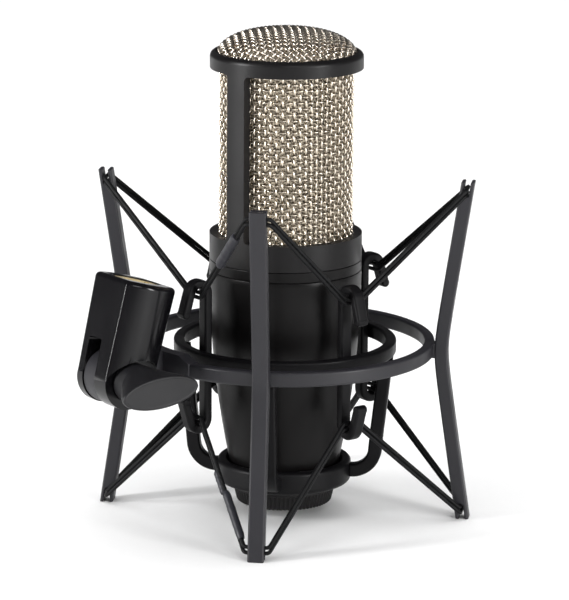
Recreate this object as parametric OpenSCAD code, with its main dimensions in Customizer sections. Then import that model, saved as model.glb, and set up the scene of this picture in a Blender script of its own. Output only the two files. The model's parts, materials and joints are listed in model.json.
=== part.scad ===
// Large-diaphragm condenser microphone held in an elastic spider shock mount.
// +Z is the microphone's axis. The four posts of the mount stand on z = 0.
// An azimuth is counted from -Y towards +X, so 90 is the right-hand post.

/* [Microphone] */
// Radius of the collar, the bezel and the top of the body
body_r = 26.5; // [25:0.1:28]
// Height of the microphone's lowest body edge above the feet
body_bottom_z = 13; // [12:0.1:14]
// Height of the top edge of the body tube
body_top_z = 87.6; // [84:0.1:90]
// How far the body narrows at the cradle, on its radius
body_taper = 7.5; // [5:0.1:8]
// Height of the narrow band above the body tube
band_h = 3.6; // [2:0.1:5]
// Height of the collar above the band
collar_h = 9.2; // [7:0.1:12]
// Radius of the woven grille
grille_r = 23.4; // [22:0.1:24]
// Height of the underside of the bezel
bezel_z = 158.1; // [150:0.1:160]
// Height of the bezel ring
bezel_h = 5.8; // [4:0.1:8]
// Height of the crown of the grille above the bezel
crown_h = 7.8; // [5:0.1:12]
// Width of the two bars at the sides of the grille
side_bar_w = 7.7; // [6:0.1:9]
// Azimuth of the microphone's front, which carries the switches
front_az = -123; // [-180:1:180]
// Travel of the two slide switches
switch_travel = 3; // [2:0.1:3]

/* [Lock ring] */
// Radius of the thread that the lock ring runs on
neck_r = 15.2; // [15:0.1:15.3]
// Outside radius of the lock ring
lock_ring_r = 18.2; // [17.8:0.1:18.6]
// Height of the lock ring
lock_ring_h = 6.4; // [6:0.1:6.8]

/* [Cage] */
// Outside radius of the inner ring
inner_ring_r = 38.9; // [38:0.1:40]
// Height of the centre of both rings
ring_mid_z = 60.2; // [59:0.1:61]
// Height of a ring's section
ring_h = 5.2; // [4:0.1:6]
// Outside radius of the cradle that holds the microphone's base
cradle_r = 23.5; // [23:0.1:25]
// Height of the highest point of the hooks
hook_top_z = 88.2; // [87:0.1:90]
// Height of the lowest point of the hooks
hook_bottom_z = 33.7; // [33:0.1:35]

/* [Outer frame] */
// Outside radius of the outer ring
outer_ring_r = 52.3; // [51:0.1:53]
// Height of the posts
post_h = 120.4; // [118:0.1:122]
// Radius to the outer face of a post at the ring
post_waist_r = 57.4; // [57:0.1:58]
// Radius to the outer face of a post at its ends
post_end_r = 65.8; // [64:0.1:67]
// Radial thickness of a post
post_t = 4.6; // [4:0.1:5]
// Width of a post across its face
post_w = 5.7; // [5:0.1:6.5]
// Diameter of the elastic cord
cord_d = 1.4; // [1.2:0.1:1.6]

/* [Stand swivel] */
// Azimuth of the swivel
swivel_az = -45; // [-50:1:-40]
// Distance of the swivel's hinge from the microphone's axis
hinge_r = 71.6; // [71:0.1:73]
// Height of the swivel's hinge
hinge_z = 58.8; // [58:0.1:61]
// Lean of the stand socket towards the microphone
socket_lean = 15; // [5:1:16]
// Radius of the stand socket at its mouth
socket_r = 13.9; // [13.4:0.1:14.5]
// Length of the stand socket from its hinge to its mouth
socket_len = 33.7; // [33:0.1:36]
// Length of the thumb screw's oval end
knob_len = 30.2; // [26:0.1:31]
// Thickness of the thumb screw's oval end
knob_t = 11; // [9:0.1:12]

/* [Hidden] */

// Facets of a full circle
$fn = 96;
// Gap between two pieces that slide on each other
slip = 0.05;

// Heights up the microphone
collar_z = body_top_z + band_h;
collar_top_z = collar_z + collar_h;
bezel_top_z = bezel_z + bezel_h;
crown_top_z = bezel_top_z + crown_h;

// Walls of the microphone
tube_t = 1.6;
grille_t = 0.9;
screen_t = 0.4;
grille_in_r = grille_r - grille_t;
crown_r = 24.4;
crown_seat_z = bezel_top_z - 1.6;
mesh_seat_z = collar_top_z - 2.4;
plate_t = 2;
plate_z = mesh_seat_z - plate_t;
edge_r = 1.4;

// Capsule
capsule_z = 134;
capsule_r = 17;
capsule_t = 9;
diaphragm_r = 14.6;
diaphragm_t = 0.5;
saddle_r = 7;

// Base, connector and lock ring
cradle_floor_z = 11.1;
neck_z = 4.6;
xlr_r = 7.9;
xlr_floor_z = 17;
base_top_z = 24;
pin_r = 1.18;
pin_circle_r = 4;
pin_tip_z = 6;
washer_t = 0.8;
lock_ring_top_z = cradle_floor_z - washer_t;
lock_ring_z = lock_ring_top_z - lock_ring_h;
knurls = 72;
knurl_r = 0.35;

// Circuit board and switches
board_t = 1.6;
board_w = 30;
board_z = 26;
board_h = 66;
board_y = 4;
rail_w = 5;
rail_t = 2.4;
rail_x = board_w / 2 + 1.2;
switch_z = 76.6;
switch_gap_deg = 15;
switch_w = 2.6;
switch_h = 2.2;
switch_stand = 0.8;

// Cage
ring_t = 3.7;
ring_low_z = ring_mid_z - ring_h / 2;
ring_top_z = ring_mid_z + ring_h / 2;
inner_ring_in_r = inner_ring_r - ring_t;
cradle_top_z = 19.4;
cradle_in_r = 20.2;
arm_t = 4.7;
arm_w = 4.2;
arm_top_r = 38.3 - arm_t / 2;
arm_low_r = 34.6 - arm_t / 2;
arm_bend_r = 8.2;
arm_foot_z = 15.6;
hook_t = 3.1;
hook_w = 4.4;
hook_bar_r = inner_ring_in_r - hook_t / 2 + 0.4;
hook_bend_r = 3.5;
hook_leg = 8;
hook_leg_deg = 17;

// Outer frame
outer_ring_t = 3.5;
post_bend = 6;
notch_w = 2;
notch_h = 5.4;
leg_lean = atan((post_radius(0) - post_radius(notch_h)) / notch_h);
// Room around a strand, and the height between two strands so that they also clear each other on a slope
cord_room = 0.1;
strand_pitch = 1.35 * cord_d;

// Swivel
// The fork is deeper in front of its slot than behind it, so the slot stands off the socket's middle
knuckle_w = 6.4;
knuckle_y = -1.8;
hinge_wall_r = 9.8;
bore_r = 3.05;
screw_r = bore_r - slip;
swivel_washer_t = 0.3;
slot_w = knuckle_w + 2 * (swivel_washer_t + 2 * slip);
ear_t = 8.6;
socket_foot_r = 12.9;
face_w = 20.6;
slot_depth = 12;
shoulder_r = 12.8;
shoulder_at = [-2.5, -4.5];
adapter_r = 7.9375;
adapter_h = 11.6;
adapter_inset = 0.4;
adapter_bore_r = 4;
socket_bore_h = 16;
socket_edge = 1.8;
lug_h = 10;
pad_w = 18.6;
pad_ramp = 4.4;
pad_stand = 0.6;
knob_neck_r = 6.8;
knob_neck_t = 14;
knob_end_t = 27.8;
knob_rim = 0.8;
knob_gap = 0.1;
knob_turn = 2;
nut_h = 2.2;
nut_r = 5.4;

// Turns a piece drawn along +X to an azimuth
module at(az) {
    rotate([0, 0, az - 90]) children();
}

// Points along an arc in a plane
function arc(centre, r, from, to, steps = 6) = [
    for (i = [0 : steps])
        let (a = from + (to - from) * i / steps) centre + r * [cos(a), sin(a)]
];

// Outline of a rectangle with round corners
function round_box(low, high, r, steps = 3) = concat(
    arc([high[0] - r, high[1] - r], r, 0, 90, steps),
    arc([low[0] + r, high[1] - r], r, 90, 180, steps),
    arc([low[0] + r, low[1] + r], r, 180, 270, steps),
    arc([high[0] - r, low[1] + r], r, 270, 360, steps)
);

// Direction across a path at one of its points
function across(path, i) =
    let (d = path[min(i + 1, len(path) - 1)] - path[max(i - 1, 0)])
    [-d[1], d[0]] / norm(d);

// Outline of a strip of even thickness along a path
function strip(path, t) = concat(
    [for (i = [0 : len(path) - 1]) path[i] + across(path, i) * t / 2],
    [for (i = [len(path) - 1 : -1 : 0]) path[i] - across(path, i) * t / 2]
);

// A flat bar of width w, whose outline stands in the plane of radius and height
module upright(outline, w) {
    rotate([90, 0, 0]) linear_extrude(w, center = true) polygon(outline);
}

// A straight round rod between two points
module rod(from, to, r) {
    d = to - from;
    translate(from) rotate([0, acos(d[2] / norm(d)), atan2(d[1], d[0])]) cylinder(norm(d), r = r);
}

// A plain tube on the microphone's axis
module ring(low, high, r_in, r_out) {
    rotate_extrude() translate([r_in, low]) square([r_out - r_in, high - low]);
}

// ---- Microphone ----

// Outside radius of the body at a height: the upper part is nearly straight
function body_radius(z) =
    body_r - body_taper * pow((body_top_z - z) / (body_top_z - 17), 2);

// Body outline from the foot to the top, set in by t
function body_side(t, steps = 16) = [
    for (i = [0 : steps])
        let (z = body_bottom_z + (body_top_z - body_bottom_z) * i / steps) [body_radius(z) - t, z]
];

// Places something on the microphone's skin at an azimuth and a height
module on_body(az, z) {
    at(az) translate([body_radius(z), 0, z]) children();
}

// Collar, bezel and the two bars between them, one casting
module grille_frame() {
    color("dimgray") {
        rotate_extrude() polygon([
            [grille_in_r, collar_z], [body_r - 0.3, collar_z], [body_r, collar_z + 0.3],
            [body_r, collar_top_z - 0.4], [body_r - 0.4, collar_top_z], [grille_r, collar_top_z],
            [grille_r, mesh_seat_z], [grille_in_r, mesh_seat_z]
        ]);
        rotate_extrude() polygon(concat(
            [[grille_r, bezel_z], [body_r - 0.4, bezel_z], [body_r, bezel_z + 0.4]],
            arc([body_r - edge_r, bezel_top_z - edge_r], edge_r, 0, 90),
            [[crown_r, bezel_top_z], [crown_r, crown_seat_z], [grille_r, crown_seat_z]]
        ));
        intersection() {
            ring(collar_top_z - 1, bezel_z + 1, grille_r, body_r);
            at(front_az + 90) translate([-body_r, -side_bar_w / 2, mesh_seat_z])
                cube([2 * body_r, side_bar_w, bezel_z]);
        }
    }
}

// Coarse outer weave, drawn as a plain wall
module grille_mesh() {
    color("tan") ring(mesh_seat_z, crown_seat_z - 0.1, grille_in_r, grille_r);
}

// Height of the crown's outer face at a radius, for a crown of radius r and height h
function crown_height(x, r, h) = h * pow(1 - pow(x / r, 2.4), 0.5);

// Outline of one face of the crown from its rim to the axis
function crown_side(r, h, steps = 14) = [
    for (i = [0 : steps])
        let (x = r * cos(90 * i / steps)) [x, crown_seat_z + crown_height(x, r, h)]
];

// Domed woven top
module grille_crown() {
    outer_h = crown_top_z - crown_seat_z;
    inner = crown_side(crown_r - grille_t, outer_h - grille_t);
    color("tan") rotate_extrude() polygon(concat(
        crown_side(crown_r, outer_h),
        [for (i = [len(inner) - 1 : -1 : 0]) inner[i]]
    ));
}

// Fine screen behind the weave
module inner_screen() {
    screen_r = grille_in_r - 0.6;
    color("darkgray") difference() {
        translate([0, 0, mesh_seat_z]) cylinder(crown_seat_z - mesh_seat_z, r = screen_r);
        translate([0, 0, mesh_seat_z - 1])
            cylinder(crown_seat_z - mesh_seat_z + 1 - screen_t, r = screen_r - screen_t);
    }
}

module band_ring() {
    chamfer = 0.3;
    color("dimgray") rotate_extrude() polygon([
        [grille_r, body_top_z], [body_r - chamfer, body_top_z], [body_r, body_top_z + chamfer],
        [body_r, collar_z - chamfer], [body_r - chamfer, collar_z], [grille_r, collar_z]
    ]);
}

// Azimuth of one of the two switches
function switch_az(side) = front_az + side * switch_gap_deg;

module body_tube() {
    inner = body_side(tube_t);
    color("dimgray") difference() {
        rotate_extrude() polygon(concat(
            body_side(0),
            [for (i = [len(inner) - 1 : -1 : 0]) inner[i]]
        ));
        for (side = [-1, 1])
            at(switch_az(side)) translate([body_r - 6, -switch_w / 2 - 0.2, switch_z - 0.2])
                cube([8, switch_w + 0.4, switch_h + switch_travel + 0.4]);
    }
}

// Two rails and the ring that joins them to the base
module chassis() {
    color("silver") at(front_az) {
        for (side = [-1, 1])
            translate([-rail_w / 2, side * rail_x - rail_t / 2, board_z + 12])
                cube([rail_w, rail_t, plate_z - board_z - 12]);
        for (side = [-1, 1])
            translate([-rail_w / 2, side * 13 - rail_t / 2, base_top_z])
                cube([rail_w, rail_t, board_z + 12 - base_top_z]);
        for (side = [-1, 1])
            translate([-rail_w / 2, side * 14.6 - 2.8, board_z + 10])
                cube([rail_w, 5.6, 2]);
    }
}

// Plate that closes the body under the capsule
module head_plate() {
    color("silver") translate([0, 0, plate_z]) cylinder(plate_t, r = grille_in_r - 0.1);
}

// Springy post that carries the capsule
module capsule_saddle() {
    seat_z = mesh_seat_z;
    color("darkslategray") difference() {
        union() {
            translate([0, 0, seat_z]) cylinder(4, r = saddle_r + 4);
            translate([0, 0, seat_z]) cylinder(capsule_z - capsule_r + 4 - seat_z, r = saddle_r);
        }
        at(front_az) translate([0, 0, capsule_z]) rotate([0, 90, 0])
            cylinder(4 * saddle_r, r = capsule_r, center = true);
    }
}

module on_capsule(side) {
    at(front_az) translate([0, 0, capsule_z]) rotate([0, side * 90, 0]) children();
}

// Brass backplate with its clamping rings
module capsule_body() {
    color("goldenrod") on_capsule(1) difference() {
        cylinder(capsule_t, r = capsule_r, center = true);
        for (side = [-1, 1])
            translate([0, 0, side * capsule_t / 2]) cylinder(2 * diaphragm_t, r = diaphragm_r, center = true);
    }
}

module diaphragm(side) {
    color("gold") on_capsule(side) translate([0, 0, capsule_t / 2 - diaphragm_t])
        cylinder(diaphragm_t, r = diaphragm_r);
}

module capsule_screws() {
    count = 8;
    color("silver") for (side = [-1, 1], i = [0 : count - 1])
        on_capsule(side) rotate([0, 0, 360 / count * (i + 0.5)])
            translate([(capsule_r + diaphragm_r) / 2, 0, capsule_t / 2]) cylinder(0.6, r = 0.9, $fn = 24);
}

module circuit_board() {
    color("darkgreen") at(front_az) translate([board_y, -board_w / 2, board_z + 14])
        cube([board_t, board_w, board_h - 16]);
}

// Capacitors, transistor cans and a small transformer on the board
module board_parts() {
    color("darkblue") at(front_az) {
        for (side = [-1, 1], row = [0 : 2])
            translate([board_y, side * 7, board_z + 22 + row * 11]) rotate([0, -90, 0]) cylinder(7, r = 3);
        translate([board_y + board_t, -8, board_z + 20]) cube([6, 16, 12]);
        for (side = [-1, 1])
            translate([board_y + board_t, side * 5, board_z + 40]) rotate([0, 90, 0]) cylinder(4, r = 2.4);
    }
}

// Housings that the two sliders run in
module switch_bodies() {
    color("black") for (side = [-1, 1])
        at(switch_az(side)) translate([body_r - 9.2, -4, switch_z - 1.5]) cube([5.4, 8, 8]);
}

// Slider with three ridges for a fingertip
module switch_slider(side) {
    low_r = body_r - 3.7;
    color("black") at(switch_az(side)) {
        translate([low_r, -switch_w / 2, switch_z])
            cube([body_radius(switch_z) - low_r + 0.4, switch_w, switch_h]);
        for (i = [0 : 2])
            translate([body_radius(switch_z) + 0.4, -switch_w / 2, switch_z + i * 0.85])
                cube([switch_stand - 0.4, switch_w, 0.5]);
    }
}

// Bottom plug: a flange in the body tube, and the threaded neck around the connector
module base_cap() {
    flange_r = body_radius(body_bottom_z) - tube_t;
    color("dimgray") difference() {
        union() {
            translate([0, 0, body_bottom_z]) cylinder(base_top_z - body_bottom_z, r = flange_r - 0.05);
            translate([0, 0, neck_z]) cylinder(body_bottom_z - neck_z, r = neck_r);
        }
        translate([0, 0, neck_z - 1]) cylinder(base_top_z, r = xlr_r);
    }
}

module base_screws() {
    color("silver") at(front_az) for (side = [-1, 1])
        translate([side * 13, 0, base_top_z]) cylinder(1.2, r = 2, $fn = 24);
}

module xlr_insert() {
    color("black") translate([0, 0, xlr_floor_z]) cylinder(base_top_z - xlr_floor_z, r = xlr_r);
}

module xlr_pins() {
    color("gold") for (a = [0, 180, 270])
        rotate([0, 0, a]) translate([pin_circle_r, 0, pin_tip_z])
            cylinder(xlr_floor_z - pin_tip_z, r = pin_r);
}

// ---- Lock ring ----

module lock_washer() {
    color("gray") ring(lock_ring_top_z, cradle_floor_z, neck_r + 0.1, lock_ring_r - 0.4);
}

// Knurled nut that clamps the microphone in the cradle
module lock_ring() {
    chamfer = 0.8;
    flange_z = lock_ring_top_z - 1.1;
    grip_r = lock_ring_r - 0.5;
    foot_r = lock_ring_r - 1.6;
    foot_z = lock_ring_z + chamfer;
    lean = atan((grip_r - foot_r) / (flange_z - foot_z));
    color("dimgray") difference() {
        rotate_extrude() polygon([
            [neck_r + 0.08, lock_ring_z], [foot_r - chamfer, lock_ring_z], [foot_r, foot_z],
            [grip_r, flange_z], [lock_ring_r, flange_z], [lock_ring_r, lock_ring_top_z],
            [neck_r + 0.08, lock_ring_top_z]
        ]);
        for (i = [0 : knurls - 1])
            rotate([0, 0, 360 / knurls * i]) translate([foot_r + 0.1, 0, foot_z])
                rotate([0, lean, 0]) translate([0, 0, -2 * chamfer])
                    cylinder(flange_z - foot_z + 1.6 * chamfer, r = knurl_r, $fn = 6);
    }
}

// ---- Cage ----

// Cup that the foot of the microphone stands in
module cradle() {
    color("darkslategray") rotate_extrude() polygon(concat(
        [[neck_r + 0.2, cradle_floor_z]],
        arc([cradle_r - edge_r, cradle_floor_z + edge_r], edge_r, -90, 0, 4),
        arc([cradle_r - edge_r, cradle_top_z - edge_r], edge_r, 0, 90, 4),
        [[cradle_in_r, cradle_top_z], [cradle_in_r, body_bottom_z], [neck_r + 0.2, body_bottom_z]]
    ));
}

module inner_ring() {
    color("darkslategray") rotate_extrude()
        polygon(round_box([inner_ring_in_r, ring_low_z], [inner_ring_r, ring_top_z], 0.9));
}

// Centre line of an arm, from the inner ring down and round to the cradle
function arm_path() = concat(
    [[arm_top_r, ring_low_z]],
    arc([arm_low_r - arm_bend_r, arm_foot_z + arm_bend_r], arm_bend_r, -6, -90, 7),
    [[cradle_r - 1, arm_foot_z]]
);

module cradle_arm(az) {
    color("darkslategray") at(az) difference() {
        upright(strip(arm_path(), arm_t), arm_w);
        translate([0, 0, cradle_floor_z]) cylinder(cradle_top_z, r = cradle_r);
        translate([0, 0, ring_low_z]) cylinder(ring_h, r = inner_ring_r + 5);
    }
}

// Centre line of one hook end: up the bar, over the bend and down the leg, mirrored by s
function hook_end(tip_z, s) =
    let (
        bend = [hook_bar_r + hook_bend_r, tip_z - s * (hook_bend_r + hook_t / 2)],
        turn = arc([0, 0], hook_bend_r, 180, hook_leg_deg, 8),
        last = turn[len(turn) - 1],
        tip = last + hook_leg * [sin(hook_leg_deg), -cos(hook_leg_deg)]
    )
    [for (p = concat(turn, [tip])) bend + [p[0], s * p[1]]];

function backwards(list) = [for (i = [len(list) - 1 : -1 : 0]) list[i]];

module hook_bar(az) {
    path = concat(backwards(hook_end(hook_bottom_z, -1)), hook_end(hook_top_z, 1));
    color("darkslategray") at(az) difference() {
        union() {
            upright(strip(path, hook_t), hook_w);
            for (tip = [path[0], path[len(path) - 1]])
                translate([tip[0], 0, tip[1]]) rotate([90, 0, 0])
                    cylinder(hook_w, r = hook_t / 2, center = true);
        }
        ring(ring_low_z, ring_top_z, inner_ring_in_r, inner_ring_r + 1);
    }
}

// ---- Outer frame ----

module outer_ring() {
    color("darkslategray") rotate_extrude()
        polygon(round_box([outer_ring_r - outer_ring_t, ring_low_z], [outer_ring_r, ring_top_z], 0.9));
}

// Radius to the middle of a post: straight legs with a smooth waist between them
function post_radius(z) =
    let (
        reach = post_h / 2,
        rise = (post_end_r - post_waist_r) / (sqrt(reach * reach + post_bend * post_bend) - post_bend),
        dz = z - reach
    )
    post_waist_r - post_t / 2 + rise * (sqrt(dz * dz + post_bend * post_bend) - post_bend);

module post(az) {
    steps = 30;
    // Closer points near the waist, where the post bends
    path = [for (i = [-steps : steps])
        let (z = post_h / 2 * (1 + i / steps * (0.4 + 0.6 * abs(i) / steps))) [post_radius(z), z]];
    waist = post_waist_r - post_t;
    color("darkslategray") at(az) difference() {
        union() {
            intersection() {
                upright(strip(path, post_t), post_w);
                translate([0, -post_w, 0]) cube([2 * post_end_r, 2 * post_w, post_h]);
            }
            translate([outer_ring_r - 1, -post_w / 2, ring_low_z])
                cube([waist + 1.5 - outer_ring_r, post_w, ring_h]);
        }
        translate([0, 0, ring_low_z - 1]) cylinder(ring_h + 2, r = outer_ring_r);
        for (end = [0, 1])
            translate([post_radius(0), 0, end * post_h]) mirror([0, 0, end]) rotate([0, -leg_lean, 0])
                translate([-notch_w / 2, -post_w, -1]) cube([notch_w, 2 * post_w, notch_h + 1]);
    }
}

// ---- Elastic cord ----

// A point given by azimuth, radius, offset along the tangent, and height
function spot(az, r, side, z) = [r * sin(az) + side * cos(az), -r * cos(az) + side * sin(az), z];

// Radius where the cord lies in a hook, and its heights in a notch and in a hook
cord_hook_r = hook_bar_r + 2 * hook_bend_r - hook_t / 2 - cord_d / 2 - cord_room - 0.4;
function notch_z(k) = post_h - notch_h + cord_d / 2 + cord_room + k * strand_pitch;
function hook_z(k) = hook_top_z - hook_t - cord_room - cord_d / 2 - (1 - k) * strand_pitch - 0.3;

// Corners of one turn of cord: through each notch, then through each hook; k is the strand
function cord_corners(k) = [
    for (i = [0 : 3], j = [0 : 3])
        let (
            in_notch = j < 2,
            side = (j % 2 == 0 ? -1 : 1) * (in_notch ? post_w / 2 + cord_d : hook_w / 2 + cord_d / 2 + 0.3),
            az = 90 * i + (in_notch ? 0 : 45)
        )
        in_notch ? spot(az, post_radius(notch_z(k)), side, notch_z(k))
            : spot(az, cord_hook_r, side, hook_z(k))
];

function unit(v) = v / norm(v);

// Each corner rounded off with three points
function rounded(corners, a) = [
    for (i = [0 : len(corners) - 1])
        let (
            n = len(corners),
            c = corners[i],
            before = c - a * unit(c - corners[(i + n - 1) % n]),
            after = c + a * unit(corners[(i + 1) % n] - c)
        )
        each [before, (before + 2 * c + after) / 4, after]
];

// A closed round cord along a loop of points
module cord_loop(loop, r, sides = 8) {
    n = len(loop);
    points = [
        for (i = [0 : n - 1])
            let (
                along = unit(loop[(i + 1) % n] - loop[(i + n - 1) % n]),
                level = unit(cross(along, [0, 0, 1])),
                up = cross(level, along)
            )
            for (j = [0 : sides - 1])
                loop[i] + r * (cos(360 * j / sides) * level + sin(360 * j / sides) * up)
    ];
    faces = [
        for (i = [0 : n - 1], j = [0 : sides - 1])
            let (a = i * sides, b = (i + 1) % n * sides, k = (j + 1) % sides)
            each [[a + j, b + j, b + k], [a + j, b + k, a + k]]
    ];
    polyhedron(points, faces);
}

module upper_elastic() {
    color("black") for (k = [0, 1]) cord_loop(rounded(cord_corners(k), 0.7), cord_d / 2);
}

// The lower cord is the upper one turned over about the posts' middle, as far as the notches go
function lowered(p) = [p[0], p[1], p[2] > post_h * 0.9 ? post_h - p[2] : hook_bottom_z + hook_top_z - p[2]];

module lower_elastic() {
    color("black") for (k = [0, 1])
        cord_loop(rounded([for (p = cord_corners(k)) lowered(p)], 0.7), cord_d / 2);
}

// A point part of the way along the span from the front post to the left front hook
function span_point(k, part, low) =
    let (
        c = cord_corners(k),
        a = low ? lowered(c[0]) : c[0],
        b = low ? lowered(c[15]) : c[15]
    )
    a + part * (b - a);

// Shrink sleeve over both strands where the cord's ends are joined
module upper_sleeve() {
    color("black") rod(
        (span_point(0, 0.2, false) + span_point(1, 0.2, false)) / 2,
        (span_point(0, 0.58, false) + span_point(1, 0.58, false)) / 2,
        cord_d + 0.2
    );
}

module lower_sleeves() {
    color("black") {
        rod(span_point(0, 0.06, true), span_point(0, 0.42, true), cord_d);
        rod(span_point(1, 0.45, true), span_point(1, 0.62, true), cord_d);
    }
}

// ---- Stand swivel ----

// Local axes at the hinge: +X away from the microphone, +Y along the hinge pin
module at_hinge() {
    at(swivel_az) translate([hinge_r, 0, hinge_z]) children();
}

// A cylinder along the hinge pin between two distances
module on_pin(from, to, r, sides = 96) {
    translate([0, from, 0]) rotate([-90, 0, 0]) cylinder(to - from, r = r, $fn = sides);
}

// Plate that the socket hinges on, with a pad that ramps down to the outer ring on both sides
module swivel_lug() {
    half_h = lug_h / 2;
    half_w = pad_w / 2;
    end_w = half_w + pad_ramp;
    low_y = knuckle_y - knuckle_w / 2;
    pad_in_r = outer_ring_r - outer_ring_t;
    pad_out_r = outer_ring_r + pad_stand;
    color("darkslategray") difference() {
        union() {
            at_hinge() on_pin(low_y, low_y + knuckle_w, hinge_wall_r - 0.4);
            at(swivel_az) translate([pad_in_r + 1, low_y, ring_mid_z - half_h])
                cube([hinge_r - pad_in_r - 1, knuckle_w, lug_h]);
            intersection() {
                at(swivel_az) rotate([90, 0, 90]) linear_extrude(pad_out_r) polygon([
                    [-end_w, ring_low_z], [-half_w, ring_mid_z - half_h], [half_w, ring_mid_z - half_h],
                    [end_w, ring_low_z], [end_w, ring_top_z], [half_w, ring_mid_z + half_h],
                    [-half_w, ring_mid_z + half_h], [-end_w, ring_top_z]
                ]);
                ring(ring_mid_z - lug_h, ring_mid_z + lug_h, pad_in_r, pad_out_r);
            }
        }
        ring(ring_low_z, ring_top_z, pad_in_r - 1, outer_ring_r);
        at_hinge() on_pin(-ear_t, ear_t, bore_r);
    }
}

module swivel_washers() {
    color("silver") at_hinge() for (side = [-1, 1])
        translate([0, knuckle_y + side * (knuckle_w / 2 + swivel_washer_t / 2 + slip), 0]) difference() {
            on_pin(-swivel_washer_t / 2, swivel_washer_t / 2, 7);
            on_pin(-1, 1, bore_r);
        }
}

// Turns a piece drawn upright at the hinge to the socket's lean
module leaning() {
    at_hinge() rotate([0, -socket_lean, 0]) children();
}

// Fork below, thread socket above, and a shoulder on both sides where the fork is cut back
module stand_socket() {
    face_draft = atan((face_w / 2 - hinge_wall_r) / socket_len);
    color("dimgray") leaning() difference() {
        union() {
            cylinder(socket_len - socket_edge, r1 = socket_foot_r, r2 = socket_r);
            translate([0, 0, socket_len - socket_edge])
                cylinder(socket_edge, r1 = socket_r, r2 = socket_r - socket_edge);
            intersection() {
                translate([0, 0, -hinge_wall_r]) cylinder(2 * hinge_wall_r, r = socket_foot_r);
                on_pin(-ear_t, ear_t, hinge_wall_r);
            }
        }
        for (side = [-1, 1])
            scale([side, 1, 1]) translate([hinge_wall_r, -socket_r, 0]) rotate([0, face_draft, 0])
                cube([socket_r, 2 * socket_r, socket_len + socket_edge]);
        translate([-socket_r, knuckle_y - slot_w / 2, -socket_r])
            cube([2 * socket_r, slot_w, socket_r + slot_depth]);
        for (side = [-1, 1])
            translate([shoulder_at[0], 0, shoulder_at[1]]) scale([1, side, 1])
                on_pin(ear_t, 2 * ear_t, shoulder_r);
        on_pin(-socket_r, socket_r, bore_r);
        translate([0, 0, socket_len - socket_bore_h]) cylinder(socket_bore_h + 1, r = adapter_r);
        on_pin(-ear_t - 1, -ear_t + nut_h, nut_r, 6);
    }
}

// Brass reducer from the wide stand thread to the narrow one, with a screwdriver slot
module thread_adapter() {
    color("goldenrod") leaning() translate([0, 0, socket_len - adapter_inset - adapter_h]) difference() {
        cylinder(adapter_h, r = adapter_r);
        translate([0, 0, -1]) cylinder(adapter_h + 2, r = adapter_bore_r);
        translate([-adapter_r, -0.9, adapter_h - 1.6]) cube([2 * adapter_r, 1.8, 3]);
    }
}

module pivot_nut() {
    color("silver") leaning() difference() {
        on_pin(-ear_t, -ear_t + nut_h, nut_r, 6);
        on_pin(-ear_t - 1, ear_t, bore_r);
    }
}

module pivot_screw() {
    color("silver") leaning() on_pin(-ear_t - 0.6, ear_t + knob_gap, screw_r);
}

// Thumb screw: a round neck that spreads into an oval end
module thumb_knob() {
    color("dimgray") at_hinge() rotate([0, knob_turn, 0]) union() {
        on_pin(ear_t + knob_gap, knob_neck_t, knob_neck_r);
        hull() {
            on_pin(knob_neck_t, knob_neck_t + 0.5, knob_neck_r, 48);
            translate([0, knob_end_t - knob_rim, 0]) rotate([-90, 0, 0]) scale([knob_len / knob_t, 1, 1])
                cylinder(knob_rim, r = knob_t / 2, $fn = 48);
        }
    }
}

grille_frame();
grille_mesh();
grille_crown();
inner_screen();
band_ring();
body_tube();
chassis();
head_plate();
capsule_saddle();
capsule_body();
diaphragm(1);  // front_diaphragm
diaphragm(-1);  // rear_diaphragm
capsule_screws();
circuit_board();
board_parts();
switch_bodies();
base_cap();
base_screws();
xlr_insert();
xlr_pins();
switch_slider(-1);  // pad_switch
switch_slider(1);  // low_cut_switch
lock_washer();
lock_ring();
cradle();
inner_ring();
cradle_arm(0);  // cradle_arm_front
cradle_arm(90);  // cradle_arm_right
cradle_arm(180);  // cradle_arm_back
cradle_arm(270);  // cradle_arm_left
hook_bar(45);  // hook_bar_right_front
hook_bar(135);  // hook_bar_right_back
hook_bar(225);  // hook_bar_left_back
hook_bar(315);  // hook_bar_left_front
outer_ring();
post(0);  // post_front
post(90);  // post_right
post(180);  // post_back
post(270);  // post_left
upper_elastic();
lower_elastic();
upper_sleeve();
lower_sleeves();
swivel_lug();
swivel_washers();
stand_socket();
thread_adapter();
pivot_nut();
pivot_screw();
thumb_knob();
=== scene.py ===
import json
import math
import random

import bmesh
import bpy
from mathutils import Matrix, Vector


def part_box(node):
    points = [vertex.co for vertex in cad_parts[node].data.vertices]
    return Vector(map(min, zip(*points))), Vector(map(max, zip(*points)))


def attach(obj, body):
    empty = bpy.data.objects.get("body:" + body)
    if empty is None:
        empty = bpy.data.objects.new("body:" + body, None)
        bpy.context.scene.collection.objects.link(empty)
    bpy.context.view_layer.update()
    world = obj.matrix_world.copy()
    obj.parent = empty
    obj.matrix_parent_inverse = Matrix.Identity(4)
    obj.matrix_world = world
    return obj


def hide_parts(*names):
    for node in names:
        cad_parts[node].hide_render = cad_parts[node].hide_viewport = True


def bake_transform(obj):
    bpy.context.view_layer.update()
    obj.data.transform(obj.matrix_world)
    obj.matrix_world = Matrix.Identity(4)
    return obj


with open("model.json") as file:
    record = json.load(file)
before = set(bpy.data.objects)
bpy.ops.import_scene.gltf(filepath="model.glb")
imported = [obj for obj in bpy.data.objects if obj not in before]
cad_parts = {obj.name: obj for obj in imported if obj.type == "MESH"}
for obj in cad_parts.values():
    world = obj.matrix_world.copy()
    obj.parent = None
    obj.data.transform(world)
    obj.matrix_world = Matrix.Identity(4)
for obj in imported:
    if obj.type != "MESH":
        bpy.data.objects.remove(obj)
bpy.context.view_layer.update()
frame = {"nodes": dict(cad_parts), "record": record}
MM = 0.001
TAU = 2 * math.pi
random.seed(7)

# ---- Sizes, in metres. What a CAD node's box can tell is taken from it. ----

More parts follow.
